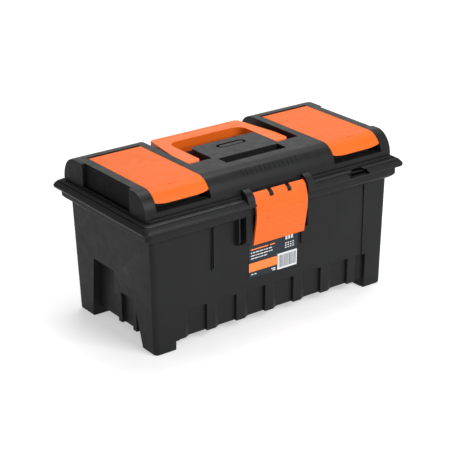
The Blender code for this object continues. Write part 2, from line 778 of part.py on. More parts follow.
def latch_ears():
    """Ears beside the latch and the two webs inside it, which hold the latch pin."""
    bm = bmesh.new()
    profile = [(-91.5, SEAM_Z + 0.02), (-108.4, SEAM_Z + 0.02), (-109.4, 176.0), (-107.2, 182.5),
               (-102.6, 187.6), (-96.0, 190.2), (-91.5, 190.8)]
    prism_x(bm, profile, EAR_X[0], EAR_X[1])
    prism_x(bm, profile, -EAR_X[1], -EAR_X[0])
    half = LATCH_WEB_WIDTH / 2.0
    web = arc(LATCH_AXIS_Y, LATCH_AXIS_Z, LATCH_BARREL_R, LATCH_BARREL_R, 90.0, 270.0, 10)
    web += [(-LID_LIP_Y - 1.4, LATCH_AXIS_Z - LATCH_BARREL_R), (-LID_LIP_Y - 1.4, LATCH_AXIS_Z + 3.4)]
    for centre in (-LATCH_WEB_X, LATCH_WEB_X):
        prism_x(bm, web, centre - half, centre + half)
    return bm


def padlock_notch():
    """A D-shaped window in the right of the front flange."""
    bm = bmesh.new()
    profile = arc(126.0, 172.0, 17.0, 6.5, 0.0, 180.0, 14)
    prism_y(bm, profile, -130.0, -105.2)
    return bm


def lid_knuckles():
    """The middle knuckle of each rear hinge."""
    bm = bmesh.new()
    for centre in (-HINGE_X, HINGE_X):
        profile = arc(HINGE_AXIS_Y, HINGE_AXIS_Z, KNUCKLE_R, KNUCKLE_R, 180.0, 360.0, 12)
        profile += [(HINGE_AXIS_Y + 2.7, SEAM_Z + 2.5), (HINGE_AXIS_Y - 2.2, SEAM_Z + 6.0)]
        prism_x(bm, profile, centre - KNUCKLE_HALF, centre + KNUCKLE_HALF)
    return bm


def lid_bores():
    """Bores for the latch pin, the handle pins and the organizer rods."""
    bm = bmesh.new()
    reach = EAR_X[1] - 3.0
    rod(bm, LATCH_AXIS_Y, LATCH_AXIS_Z, LATCH_PIN_R + 0.3, -reach, reach)
    for side in (-1.0, 1.0):
        ends = sorted((side * (ISLAND_HALF_X - 8.0), side * (WELL_HALF_X + 5.0)))
        rod(bm, HANDLE_AXIS_Y, HANDLE_AXIS_Z, HANDLE_PIN_R + 0.3, *ends)
        ends = sorted((side * (OPENING_X[0] - 5.0), side * (OPENING_X[1] + 5.0)))
        rod(bm, COVER_AXIS_Y, COVER_AXIS_Z, COVER_ROD_R + 0.3, *ends)
    return bm


def build_lid(material, axis):
    lid = add_piece("lid_shell", crown_solid(), material, axis)
    join(lid, "join_flange", flange_solid())
    cut(lid, "cut_rim_channel", rim_channel())
    hollow = cut(lid, "cut_lid_hollow", lid_hollow())
    cut(hollow, "keep_well_walls", well_walls())
    join(hollow, "join_island_room", island_room())
    cut(hollow, "keep_groove_walls", groove_walls())
    cut(hollow, "keep_organizer_walls", organizer_walls())
    cut(hollow, "keep_finger_gap_walls", finger_gap_walls())
    cut(lid, "cut_lip_hollow", lip_hollow())
    cut(lid, "cut_handle_well", handle_well())
    cut(lid, "cut_arm_pockets", arm_pockets())
    cut(lid, "cut_organizer_openings", organizer_openings())
    cut(lid, "cut_bin_holes", bin_holes())
    cut(lid, "cut_finger_gaps", finger_gaps())
    cut(lid, "cut_end_recesses", crown_end_recesses())
    cut(lid, "cut_groove", deck_groove())
    cut(lid, "cut_slot", deck_slot())
    cut(lid, "cut_latch_bay", latch_bay())
    join(lid, "join_latch_ears", latch_ears())
    cut(lid, "cut_padlock_notch", padlock_notch())
    join(lid, "join_lid_knuckles", lid_knuckles())
    cut(lid, "cut_lid_hinge_bores", hinge_bores())
    cut(lid, "cut_lid_bores", lid_bores())
    shade_round(lid)
    return lid


# ---------------------------------------------------------------- organizers

def span(side, x):
    """The (low, high) pair of an X interval on the left (-1) or right (1)."""
    return x if side > 0 else (-x[1], -x[0])


def build_bin(name, side, material, axis):
    """A drop-in bin that hangs by its step on the ledge of the opening."""
    bm = bmesh.new()
    upper_x = span(side, (OPENING_X[0] + GAP, OPENING_X[1] - GAP))
    lower = BIN_LEDGE + GAP
    lower_x = span(side, (OPENING_X[0] + lower, OPENING_X[1] - lower))
    lower_y = (BIN_FRONT_Y + BIN_LEDGE, BIN_BACK_Y - BIN_LEDGE)
    step_z = BIN_LEDGE_Z + GAP
    levels = [
        (lower_x, lower_y, 4.0, BIN_BOTTOM_Z, 1.5),
        (lower_x, lower_y, 4.0, BIN_BOTTOM_Z + 2.0, 0.0),
        (lower_x, lower_y, 4.0, step_z, 0.0),
        (upper_x, (BIN_FRONT_Y, BIN_BACK_Y), 4.0, step_z, 0.0),
        (upper_x, (BIN_FRONT_Y, BIN_BACK_Y), 4.0, BIN_TOP_Z, 0.0),
        (upper_x, (BIN_FRONT_Y, BIN_BACK_Y), 4.0, BIN_TOP_Z, BIN_WALL),
        (upper_x, (BIN_FRONT_Y, BIN_BACK_Y), 4.0, step_z + BIN_WALL, BIN_WALL),
        (lower_x, lower_y, 4.0, step_z + BIN_WALL, BIN_WALL),
        (lower_x, lower_y, 4.0, BIN_BOTTOM_Z + BIN_WALL, BIN_WALL),
    ]
    rings = []
    for x, y, r, z, inset in levels:
        outline = rounded_rect(x[0] + inset, x[1] - inset, y[0] + inset, y[1] - inset, r - inset)
        rings.append([(px, py, z) for px, py in outline])
    loft(bm, rings)
    piece = add_piece(name, bm, material, axis)
    shade_round(piece)
    for number, y in enumerate(divider_places(), start=1):
        build_divider(f"{name}_divider_{number}", lower_x, y, material, axis)
    return piece


def divider_places():
    """Y of the dividers, which split the bin evenly."""
    front = BIN_FRONT_Y + BIN_LEDGE
    length = BIN_BACK_Y - BIN_LEDGE - front
    return [front + length * i / (DIVIDERS_PER_BIN + 1) for i in range(1, DIVIDERS_PER_BIN + 1)]


def build_divider(name, lower_x, y, material, axis):
    bm = bmesh.new()
    inset = BIN_WALL + GAP
    half = DIVIDER_THICKNESS / 2.0
    low = BIN_BOTTOM_Z + BIN_WALL + GAP
    box(bm, (lower_x[0] + inset, lower_x[1] - inset), (y - half, y + half), (low, BIN_LEDGE_Z))
    return add_piece(name, bm, material, axis)


def cover_profile():
    """Cross-section of an organizer cover: rolled back edge, flat top and curved front lip."""
    t = COVER_THICKNESS
    back_r = CROWN_TOP_Z - COVER_AXIS_Z
    front_y = CROWN_FRONT_Y + CROWN_ROUND_Y
    rz = CROWN_TOP_Z - CROWN_ROUND_Z
    lip = math.degrees(math.asin((COVER_LIP_Z - CROWN_ROUND_Z) / rz))
    outer = arc(COVER_AXIS_Y, COVER_AXIS_Z, back_r, back_r, 0.0, 90.0, 8)
    outer += arc(front_y, CROWN_ROUND_Z, CROWN_ROUND_Y, rz, 90.0, 180.0 - lip, 12)
    inner = arc(front_y, CROWN_ROUND_Z, CROWN_ROUND_Y - t, rz - t, 180.0 - lip, 90.0, 12)
    inner += arc(COVER_AXIS_Y, COVER_AXIS_Z, back_r - t, back_r - t, 90.0, 0.0, 8)
    return outer + inner


def build_cover(name, side, material, axis):
    """The orange cover with a hinge barrel at each end of its back edge."""
    bm = bmesh.new()
    x = span(side, COVER_X)
    prism_x(bm, cover_profile(), x[0], x[1])
    cover = add_piece(name, bm, material, axis)
    barrels = bmesh.new()
    r = CROWN_TOP_Z - COVER_AXIS_Z - 0.05
    inner = 0.02
    rod(barrels, COVER_AXIS_Y, COVER_AXIS_Z, r, x[0] + inner, x[0] + COVER_BARREL_LENGTH, 28)
    rod(barrels, COVER_AXIS_Y, COVER_AXIS_Z, r, x[1] - COVER_BARREL_LENGTH, x[1] - inner, 28)
    join(cover, f"{name}_barrels", barrels)
    bore = bmesh.new()
    rod(bore, COVER_AXIS_Y, COVER_AXIS_Z, COVER_ROD_R + 0.3, x[0] - 3.0, x[1] + 3.0)
    cut(cover, f"{name}_bore", bore)
    shade_round(cover)
    return cover


# ---------------------------------------------------------------- handle and latch

def handle_outline():
    """Plan of the bail: two arms and the grip, going round the outside and back along the inside."""
    half = [(HANDLE_CORNER_X - 4.0, HANDLE_BACK_Y), (HANDLE_CORNER_X, HANDLE_BACK_Y - 3.0),
            (HANDLE_CORNER_X + 3.5, 55.0), (ARM_OUTER_X, 10.0)]
    end_y = HANDLE_AXIS_Y - ARM_END_R
    half += arc(ARM_OUTER_X - ARM_TIP_R, end_y + ARM_TIP_R, ARM_TIP_R, ARM_TIP_R, 0.0, -90.0)
    half += arc(ARM_INNER_X + ARM_TIP_R, end_y + ARM_TIP_R, ARM_TIP_R, ARM_TIP_R, 270.0, 180.0)
    fillet = 14.0
    half += arc(ARM_INNER_X - fillet, HANDLE_GRIP_FRONT_Y - fillet, fillet, fillet, 0.0, 90.0)
    left = [(-x, y) for x, y in reversed(half)]
    return half + left


def build_handle(material, axis):
    bm = bmesh.new()
    prism_z(bm, handle_outline(), HANDLE_BOTTOM_Z, HANDLE_TOP_Z)
    handle = add_piece("carry_handle", bm, material, axis)
    grip = bmesh.new()
    outline = rounded_rect(-ARM_INNER_X - 2.0, ARM_INNER_X + 2.0, HANDLE_GRIP_FRONT_Y + 1.0,
                           HANDLE_BACK_Y - 3.0, 4.0)
    prism_z(grip, outline, GRIP_BOTTOM_Z, HANDLE_BOTTOM_Z + 2.0)
    join(handle, "join_grip_underside", grip)
    bevel = handle.modifiers.new("soft_edges", "BEVEL")
    bevel.width = 1.6 * MM
    bevel.segments = 2
    bevel.limit_method = "ANGLE"
    bores = bmesh.new()
    for side in (-1.0, 1.0):
        ends = sorted((side * (ARM_INNER_X - 6.0), side * (ARM_OUTER_X + 6.0)))
        rod(bores, HANDLE_AXIS_Y, HANDLE_AXIS_Z, HANDLE_PIN_R + 0.3, *ends)
    cut(handle, "cut_handle_bores", bores)
    ends_round = bmesh.new()
    r = ARM_END_R
    y0 = HANDLE_AXIS_Y
    corner = [(y0 + 0.5, HANDLE_AXIS_Z - r)]
    corner += arc(y0, HANDLE_AXIS_Z, r, r, 270.0, 180.0, 8)
    corner += arc(y0, HANDLE_AXIS_Z, r, r, 180.0, 90.0, 8)[1:]
    corner += [(y0 + 0.5, HANDLE_AXIS_Z + r), (y0 + 0.5, HANDLE_AXIS_Z + r + 5.0),
               (y0 - r - 6.0, HANDLE_AXIS_Z + r + 5.0), (y0 - r - 6.0, HANDLE_AXIS_Z - r - 5.0),
               (y0 + 0.5, HANDLE_AXIS_Z - r - 5.0)]
    prism_x(ends_round, corner, -100.0, 100.0)
    cut(handle, "cut_round_ends", ends_round)
    shade_round(handle)
    return handle


def latch_curve():
    """The bulging front of the latch in (y, z), from the top edge down."""
    return [(-99.2, 185.0), (-102.6, 183.2), (-105.4, 179.6), (-107.6, 173.5), (-109.3, 166.5),
            (-110.0, 160.0), (-109.3, 151.0), (-107.4, 140.0), (-105.2, 129.0), (-102.6, LATCH_BOTTOM_Z)]


def latch_profile():
    """The front curve thickened inwards by the wall of the latch."""
    outer = latch_curve()
    inner = []
    for i, (y, z) in enumerate(outer):
        before = outer[max(i - 1, 0)]
        after = outer[min(i + 1, len(outer) - 1)]
        tangent = Vector((after[0] - before[0], after[1] - before[1])).normalized()
        inner.append((y - tangent.y * LATCH_THICKNESS, z + tangent.x * LATCH_THICKNESS))
    return outer + inner[::-1]


def build_latch(material, axis):
    bm = bmesh.new()
    prism_x(bm, latch_profile(), -LATCH_HALF_X, LATCH_HALF_X)
    latch = add_piece("front_latch", bm, material, axis)
    barrel = bmesh.new()
    rod(barrel, LATCH_AXIS_Y, LATCH_AXIS_Z, LATCH_BARREL_R, -LATCH_HALF_X + 0.05, LATCH_HALF_X - 0.05, 24)
    join(latch, "join_latch_barrel", barrel)
    hook = bmesh.new()
    hook_z = CATCH_Z[0] - GAP
    prism_x(hook, [(-103.4, hook_z), (CATCH_Y - GAP, hook_z), (CATCH_Y - GAP, hook_z - 1.6),
                   (-101.8, hook_z - 6.0), (-103.4, hook_z - 6.0)], -28.0, 28.0)
    join(latch, "join_latch_hook", hook)
    notches = bmesh.new()
    half = LATCH_WEB_WIDTH / 2.0 + 0.6
    for centre in (-LATCH_WEB_X, LATCH_WEB_X):
        box(notches, (centre - half, centre + half), (-112.0, -90.0), (175.2, 190.0))
    cut(latch, "cut_latch_notches", notches)
    bore = bmesh.new()
    rod(bore, LATCH_AXIS_Y, LATCH_AXIS_Z, LATCH_PIN_R + 0.3, -LATCH_HALF_X - 3.0, LATCH_HALF_X + 3.0)
    cut(latch, "cut_latch_bore", bore)
    shade_round(latch)
    return latch


def build_pin(name, y, z, r, x0, x1, material, axis=None):
    bm = bmesh.new()
    rod(bm, y, z, r, x0, x1, 20)
    pin = add_piece(name, bm, material, axis)
    shade_round(pin)
    return pin


# ---------------------------------------------------------------- tray and label

def build_tray(material):
    """The tote tray that rests on the ledge of the tub."""
    bm = bmesh.new()
    rim_z = LEDGE_Z + GAP
    rim = (RIM_HALF_X - RIM_WALL - 2.5, RIM_FRONT_Y + RIM_WALL + 2.5, RIM_BACK_Y - RIM_WALL - 2.5)
    t = TRAY_WALL
    rings = [
        ring(171.0, -81.5, 81.5, 8.0, TRAY_BOTTOM_Z),
        ring(177.5, -86.5, 86.5, 8.0, rim_z),
        ring(rim[0], rim[1], rim[2], 8.0, rim_z),
        ring(rim[0], rim[1], rim[2], 8.0, TRAY_RIM_Z),
        ring(177.5 - t, -86.5 + t, 86.5 - t, 6.0, TRAY_RIM_Z),
        ring(171.0 - t, -81.5 + t, 81.5 - t, 6.0, TRAY_BOTTOM_Z + t),
    ]
    loft(bm, rings)
    tray = add_piece("tote_tray", bm, material)
    walls = bmesh.new()
    top = TRAY_RIM_Z - 1.5
    low = TRAY_BOTTOM_Z + 1.0
    mirrored_box(walls, (TRAY_DIVIDER_X, TRAY_DIVIDER_X + t), (-83.0, 83.0), (low, top))
    join(tray, "join_tray_walls", walls)
    middle = bmesh.new()
    half = TRAY_DIVIDER_X + 1.0
    outline = [(-half, low + 0.2), (half, low + 0.2), (half, top - 0.3), (TRAY_RAIL_HALF_X + 3.0, top - 0.3),
               (TRAY_RAIL_HALF_X, TRAY_GRIP_TOP_Z - 4.0), (-TRAY_RAIL_HALF_X, TRAY_GRIP_TOP_Z - 4.0),
               (-TRAY_RAIL_HALF_X - 3.0, top - 0.3), (-half, top - 0.3)]
    prism_y(middle, outline, -t, t)
    join(tray, "join_tray_middle_wall", middle)
    rail = bmesh.new()
    under = TRAY_GRIP_TOP_Z - TRAY_RAIL_HEIGHT
    side, rail_top = TRAY_RAIL_HALF_Y, TRAY_GRIP_TOP_Z
    profile = [(-t - 0.5, under), (-side, under + 2.0), (-side, rail_top - 2.0), (-side + 2.0, rail_top),
               (side - 2.0, rail_top), (side, rail_top - 2.0), (side, under + 2.0), (t + 0.5, under)]
    prism_x(rail, profile, -TRAY_RAIL_HALF_X - 0.1, TRAY_RAIL_HALF_X + 0.1)
    join(tray, "join_tray_rail", rail)
    shade_round(tray)
    return tray


def build_label(material):
    """A thin sticker on the sloped field below the latch."""
    bm = bmesh.new()
    lift = 0.2
    front = FIELD_DEPTH - lift - LABEL_THICKNESS
    back = FIELD_DEPTH - lift
    profile = [(wall_y(LABEL_Z[0], front), LABEL_Z[0]), (wall_y(LABEL_Z[1], front), LABEL_Z[1]),
               (wall_y(LABEL_Z[1], back), LABEL_Z[1]), (wall_y(LABEL_Z[0], back), LABEL_Z[0])]
    prism_x(bm, profile, LABEL_X[0], LABEL_X[1])
    return add_piece("label", bm, material)


# ---------------------------------------------------------------- assembly

def main():
    for old in list(bpy.data.objects):
        bpy.data.objects.remove(old, do_unlink=True)

    black = make_material("black_plastic", (0.035, 0.035, 0.037), 0.45)
    lid_black = make_material("lid_black_plastic", (0.042, 0.042, 0.044), 0.45)
    bin_black = make_material("bin_plastic", (0.05, 0.05, 0.052), 0.5)
    tray_black = make_material("tray_plastic", (0.03, 0.03, 0.032), 0.5)
    orange = make_material("orange_plastic", (0.95, 0.21, 0.035), 0.42)
    steel = make_material("steel", (0.55, 0.56, 0.58), 0.35, 1.0)
    paper = make_material("label_paper", (0.03, 0.06, 0.10), 0.35)

    lid_axis = add_axis("axis_lid", (0.0, HINGE_AXIS_Y, HINGE_AXIS_Z))
    handle_axis = add_axis("axis_handle", (0.0, HANDLE_AXIS_Y, HANDLE_AXIS_Z), lid_axis)
    latch_axis = add_axis("axis_latch", (0.0, LATCH_AXIS_Y, LATCH_AXIS_Z), lid_axis)

    build_tub(black)
    build_tray(tray_black)
    build_label(paper)
    build_lid(lid_black, lid_axis)
    build_handle(orange, handle_axis)
    build_latch(orange, latch_axis)

    reach = EAR_X[1] - 3.4
    build_pin("latch_pin", LATCH_AXIS_Y, LATCH_AXIS_Z, LATCH_PIN_R, -reach, reach, steel, lid_axis)
    for side, word in ((-1, "left"), (1, "right")):
        cover_axis = add_axis(f"axis_cover_{word}", (side * 136.25, COVER_AXIS_Y, COVER_AXIS_Z), lid_axis)
        build_bin(f"organizer_bin_{word}", side, bin_black, lid_axis)
        build_cover(f"organizer_lid_{word}", side, orange, cover_axis)
        rod_x = span(side, (OPENING_X[0] - 2.8, OPENING_X[1] + 2.8))
        build_pin(f"organizer_rod_{word}", COVER_AXIS_Y, COVER_AXIS_Z, COVER_ROD_R, *rod_x, steel, lid_axis)
        pin_x = span(side, (ISLAND_HALF_X - 4.5, WELL_HALF_X + 2.8))
        build_pin(f"handle_pin_{word}", HANDLE_AXIS_Y, HANDLE_AXIS_Z, HANDLE_PIN_R, *pin_x, steel, lid_axis)
        hinge_x = (side * HINGE_X - HINGE_HALF + 0.5, side * HINGE_X + HINGE_HALF - 0.5)
        build_pin(f"rear_hinge_pin_{word}", HINGE_AXIS_Y, HINGE_AXIS_Z, HINGE_PIN_R, *hinge_x, steel)


main()
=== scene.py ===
"""Looks of a sixteen inch plastic carpenter's toolbox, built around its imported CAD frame."""

import json
import math

import bmesh
import bpy
from mathutils import Matrix, Vector


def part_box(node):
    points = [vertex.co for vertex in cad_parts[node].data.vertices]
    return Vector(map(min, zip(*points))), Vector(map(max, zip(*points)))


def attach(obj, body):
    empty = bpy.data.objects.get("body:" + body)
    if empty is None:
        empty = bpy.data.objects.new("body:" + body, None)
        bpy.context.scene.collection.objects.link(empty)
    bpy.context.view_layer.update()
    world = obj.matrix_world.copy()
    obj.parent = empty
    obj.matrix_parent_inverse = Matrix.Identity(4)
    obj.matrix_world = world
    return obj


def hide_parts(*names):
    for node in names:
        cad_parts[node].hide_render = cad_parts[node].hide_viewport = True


MM = 0.001

# Camera: where it looks from, in degrees and metres
AZIMUTH = -35.63
ELEVATION = 22.51
ROLL = -0.8
DISTANCE = 1.935
TARGET = (-0.004, 0.0, 0.0955)
LENS = 115.635
SENSOR = 36.0

WORLD_LIGHT = 0.42

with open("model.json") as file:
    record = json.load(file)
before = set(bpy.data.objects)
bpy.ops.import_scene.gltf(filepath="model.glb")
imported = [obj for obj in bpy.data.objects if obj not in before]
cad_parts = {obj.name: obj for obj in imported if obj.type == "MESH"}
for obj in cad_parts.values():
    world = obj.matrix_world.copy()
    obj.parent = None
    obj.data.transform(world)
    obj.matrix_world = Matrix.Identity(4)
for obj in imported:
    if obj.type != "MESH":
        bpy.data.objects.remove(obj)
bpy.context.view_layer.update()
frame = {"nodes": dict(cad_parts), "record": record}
record_slots = {part["node"]: part["material_slot"] for part in frame["record"]["subparts"]}
record_bodies = frame["record"]["behaviour"]["bodies"]
node_body = {node: body for body, nodes in record_bodies.items() for node in nodes}


# ---------------------------------------------------------------- materials

def node_of(tree, kind, **inputs):
    """A shader node with some of its inputs set; an underscore stands for a space."""
    node = tree.nodes.new(kind)
    for name, value in inputs.items():
        node.inputs[name.replace("_", " ")].default_value = value
    return node


def noise(tree, coords, scale, detail=3.0, roughness=0.55, stretch=None):
    """A noise texture in object space, optionally stretched; scale is in cycles per metre."""
    source = coords
    if stretch is not None:
        mapping = node_of(tree, "ShaderNodeMapping", Scale=stretch)
        tree.links.new(coords, mapping.inputs["Vector"])
        source = mapping.outputs["Vector"]
    node = node_of(tree, "ShaderNodeTexNoise", Scale=scale, Detail=detail, Roughness=roughness)
    tree.links.new(source, node.inputs["Vector"])
    return node.outputs["Fac"]


def ramp(tree, value, stops):
    """A colour ramp from (position, colour) stops."""
    node = tree.nodes.new("ShaderNodeValToRGB")
    elements = node.color_ramp.elements
    while len(elements) < len(stops):
        elements.new(0.5)
    for element, (position, colour) in zip(elements, stops):
        element.position = position
        element.color = (*colour, 1.0)
    tree.links.new(value, node.inputs["Fac"])
    return node.outputs["Color"]


def spread(tree, value, low, high):
    """Map the middle of a texture's range to a range of numbers."""
    node = node_of(tree, "ShaderNodeMapRange", From_Min=0.3, From_Max=0.7, To_Min=low, To_Max=high)
    tree.links.new(value, node.inputs["Value"])
    return node.outputs["Result"]


def relief(tree, shader, height, strength, distance):
    """Let a texture raise and lower the surface; distance is in metres."""
    node = node_of(tree, "ShaderNodeBump", Strength=strength, Distance=distance)
    tree.links.new(height, node.inputs["Height"])
    tree.links.new(node.outputs["Normal"], shader.inputs["Normal"])


def shaded(colour, factor):
    """A darker or lighter version of a colour."""
    return tuple(min(channel * factor, 1.0) for channel in colour)


def new_material(name):
    """A new material with its node tree, its shader and its object coordinates."""
    material = bpy.data.materials.new(name)
    material.use_nodes = True
    tree = material.node_tree
    shader = tree.nodes["Principled BSDF"]
    coords = tree.nodes.new("ShaderNodeTexCoord").outputs["Object"]
    return material, tree, shader, coords


SCUFF_SHADE = 1.35       # how much paler than the plastic a scuff is


def plastic(name, colour, roughness, specular, grain=0.10, vary=0.10, scuff=0.5):
    """Moulded polypropylene: a fine eroded grain, slow gloss changes and a few pale scuffs.

    grain is the strength of the relief, vary the change of shade and scuff the strength of the scuffs.
    """
    material, tree, shader, coords = new_material(name)
    clouds = noise(tree, coords, scale=14.0, detail=4.0)
    blotches = noise(tree, coords, scale=95.0)
    grains = noise(tree, coords, scale=1500.0, detail=2.0, roughness=0.6)
    scratches = noise(tree, coords, scale=60.0, detail=5.0, roughness=0.7, stretch=(1.0, 1.0, 9.0))
    base = ramp(tree, clouds, ((0.30, shaded(colour, 1.0 - vary)), (0.70, shaded(colour, 1.0 + vary))))
    worn = ramp(tree, scratches, ((0.66, (0.0, 0.0, 0.0)), (0.80, (scuff, scuff, scuff))))
    mix = tree.nodes.new("ShaderNodeMix")
    mix.data_type = "RGBA"
    tree.links.new(worn, mix.inputs["Factor"])
    tree.links.new(base, mix.inputs["A"])
    mix.inputs["B"].default_value = (*shaded(colour, SCUFF_SHADE), 1.0)
    tree.links.new(mix.outputs["Result"], shader.inputs["Base Color"])
    tree.links.new(spread(tree, blotches, roughness - 0.05, roughness + 0.07), shader.inputs["Roughness"])
    relief(tree, shader, grains, strength=grain, distance=0.0003)
    shader.inputs["Specular IOR Level"].default_value = specular
    return material


def steel(name, colour):
    """Drawn wire: fine lines along its length."""
    material, tree, shader, coords = new_material(name)
    lines = noise(tree, coords, scale=900.0, roughness=0.6, stretch=(0.03, 1.0, 1.0))
    tree.links.new(ramp(tree, lines, ((0.3, shaded(colour, 0.8)), (0.7, shaded(colour, 1.1)))),
                   shader.inputs["Base Color"])
    tree.links.new(spread(tree, lines, 0.24, 0.40), shader.inputs["Roughness"])
    relief(tree, shader, lines, strength=0.15, distance=0.0001)
    shader.inputs["Metallic"].default_value = 1.0
    return material


def film(name, colour, roughness):
    """Printed film: a faint ink mottle under a thin gloss."""
    material, tree, shader, coords = new_material(name)
    ink = noise(tree, coords, scale=420.0)
    wave = noise(tree, coords, scale=45.0, detail=2.0)
    tree.links.new(ramp(tree, ink, ((0.3, shaded(colour, 0.92)), (0.7, shaded(colour, 1.08)))),
                   shader.inputs["Base Color"])
    tree.links.new(spread(tree, wave, roughness - 0.05, roughness + 0.08), shader.inputs["Roughness"])
    relief(tree, shader, wave, strength=0.12, distance=0.0002)
    shader.inputs["Specular IOR Level"].default_value = 0.32
    return material


BLACK = (0.0128, 0.0130, 0.0134)
ORANGE = (0.69, 0.112, 0.006)
orange_wear = {"vary": 0.035, "scuff": 0.25}
# grain, shade change and scuffs of the painted-highlight edge materials
painted_highlight_texture = {"grain": 0.05, "vary": 0.03, "scuff": 0.2}
finishes = {
    "tub_plastic": plastic("tub_polypropylene", shaded(BLACK, 1.22), 0.44, 0.09),
    "lid_plastic": plastic("lid_polypropylene", BLACK, 0.38, 0.13),
    "bin_plastic": plastic("bin_polypropylene", shaded(BLACK, 1.5), 0.50, 0.35),
    "tray_plastic": plastic("tray_polypropylene", shaded(BLACK, 1.1), 0.50, 0.35),
    "cover_plastic": plastic("cover_polypropylene", ORANGE, 0.48, 0.20, grain=0.08, **orange_wear),
    # Painted light: the handle's orange is paler than the same plastic on the latch, to lift its shaded
    # inner faces
    "handle_plastic": plastic("handle_polypropylene_painted_light", shaded(ORANGE, 1.12), 0.42, 0.30, grain=0.08,
                              **orange_wear),
    "latch_plastic": plastic("latch_polypropylene", ORANGE, 0.42, 0.28, grain=0.06, vary=0.03, scuff=0.25),
    "pin_steel": steel("drawn_steel", (0.55, 0.56, 0.58)),
    "label_film": film("label_dark_film", (0.004, 0.011, 0.018), 0.42),
}
# Painted highlights: paler, glossier copies of each plastic, which the rounded edges take
painted_highlight_finishes = {
    "tub_plastic": plastic("tub_edges_painted_highlight", shaded(BLACK, 3.4), 0.22, 0.60, grain=0.05),
    "lid_plastic": plastic("lid_edges_painted_highlight", shaded(BLACK, 5.0), 0.20, 0.90, grain=0.05),
    "cover_plastic": plastic("cover_edges_painted_highlight", (0.95, 0.36, 0.15), 0.36, 0.40, **painted_highlight_texture),
    "handle_plastic": plastic("handle_edges_painted_highlight", (0.88, 0.20, 0.05), 0.36, 0.40, **painted_highlight_texture),
    "latch_plastic": plastic("latch_edges_painted_highlight", (0.85, 0.20, 0.05), 0.36, 0.40, **painted_highlight_texture),
}
# Painted shade: darker copies of the lid's black. The first is also rougher and goes on the crown's end
# walls, the second on the lugs' sides, and the third, near black, in the padlock window and the slot's gap
lid_matt_painted_shade = plastic("lid_recess_matt_painted_shade", shaded(BLACK, 0.45), 0.62, 0.06, grain=0.25)
lid_lug_painted_shade = plastic("lid_lug_side_painted_shade", shaded(BLACK, 0.85), 0.45, 0.07, grain=0.15)
lid_hole_painted_black = plastic("lid_deep_hole_painted_black", shaded(BLACK, 0.15), 0.75, 0.02, grain=0.25)
print_white = film("print_white", (0.62, 0.64, 0.66), 0.42)
print_orange = film("print_orange", (0.86, 0.20, 0.035), 0.40)
print_grey = film("print_grey", (0.10, 0.11, 0.12), 0.42)


# ---------------------------------------------------------------- drawing helpers, in millimetres

def loft(bm, rings):
    """Skin rings that have the same number of points, capped at both ends."""
    rows = [[bm.verts.new(point) for point in ring] for ring in rings]
    for low, high in zip(rows, rows[1:]):
        for i in range(len(low)):
            j = (i + 1) % len(low)
            bm.faces.new((low[i], low[j], high[j], high[i]))
    bm.faces.new(rows[0])
    bm.faces.new(rows[-1])


def prism_x(bm, profile, x0, x1):
    """A prism along X with a (y, z) profile."""
    loft(bm, [[(x, y, z) for y, z in profile] for x in (x0, x1)])


def prism_y(bm, profile, y0, y1):
    """A prism along Y with an (x, z) profile."""
    loft(bm, [[(x, y, z) for x, z in profile] for y in (y0, y1)])


def prism_z(bm, outline, z0, z1):
    """A prism along Z with an (x, y) outline."""
    loft(bm, [[(x, y, z) for x, y in outline] for z in (z0, z1)])


def box(bm, x, y, z):
    """A box from three (low, high) pairs."""
    prism_z(bm, [(x[0], y[0]), (x[1], y[0]), (x[1], y[1]), (x[0], y[1])], z[0], z[1])


def arc(cx, cy, rx, ry, start, end, steps=8):
    """Points on an ellipse between two angles in degrees."""
    angles = [math.radians(start + (end - start) * i / steps) for i in range(steps + 1)]
    return [(cx + rx * math.cos(a), cy + ry * math.sin(a)) for a in angles]


def mesh_of(name, bm):
    """Mesh data in metres from a mesh drawn in millimetres."""
    bmesh.ops.recalc_face_normals(bm, faces=bm.faces)
    for vert in bm.verts:
        vert.co *= MM
    mesh = bpy.data.meshes.new(name)
    bm.to_mesh(mesh)
    bm.free()
    return mesh


def link(name, mesh):
    """A new object in the scene that shows a mesh."""
    obj = bpy.data.objects.new(name, mesh)
    bpy.context.scene.collection.objects.link(obj)
    return obj


def box_mm(node):
    """Low and high corner of a CAD node, in millimetres."""
    low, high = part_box(node)
    return Vector(low) / MM, Vector(high) / MM


# ---------------------------------------------------------------- pieces from CAD nodes

WELD_DISTANCE = 0.000004                # metres
FLAT_ANGLE = math.radians(0.7)          # faces that meet flatter than this are joined up
MOULDED_ANGLE = math.radians(28.0)      # edges that turn more than this are rounded
SHARP_ANGLE = math.radians(38.0)        # edges that turn more than this are shaded as sharp
PLAIN, PAINTED_HIGHLIGHT, MATT_PAINTED_SHADE, PAINTED_HOLE_SHADE, PAINTED_LUG_SHADE = range(5)  # order of the finishes on a piece: plain, painted highlight, matt painted shade, near-black painted shade, painted shade on the lugs
ADD = "UNION"
CUT = "DIFFERENCE"


def clean_copy(node):
    """The node's mesh with welded corners and its flat faces joined up."""
    source = frame["nodes"][node].data
    bm = bmesh.new()
    bm.from_mesh(source)
    bmesh.ops.remove_doubles(bm, verts=bm.verts, dist=WELD_DISTANCE)
    bmesh.ops.dissolve_limit(bm, angle_limit=FLAT_ANGLE, verts=bm.verts, edges=bm.edges)
    bm.verts.index_update()
    points = [vert.co.copy() for vert in bm.verts]
    faces = [[vert.index for vert in face.verts] for face in bm.faces]
    bm.free()
    mesh = bpy.data.meshes.new(node + "_skin")
    mesh.from_pydata(points, [], faces)
    mesh.update()
    return mesh


def apply_modifiers(obj):
    """Bake the modifiers of obj into its mesh."""
    graph = bpy.context.evaluated_depsgraph_get()
    baked = bpy.data.meshes.new_from_object(obj.evaluated_get(graph))
    obj.modifiers.clear()
    obj.data = baked


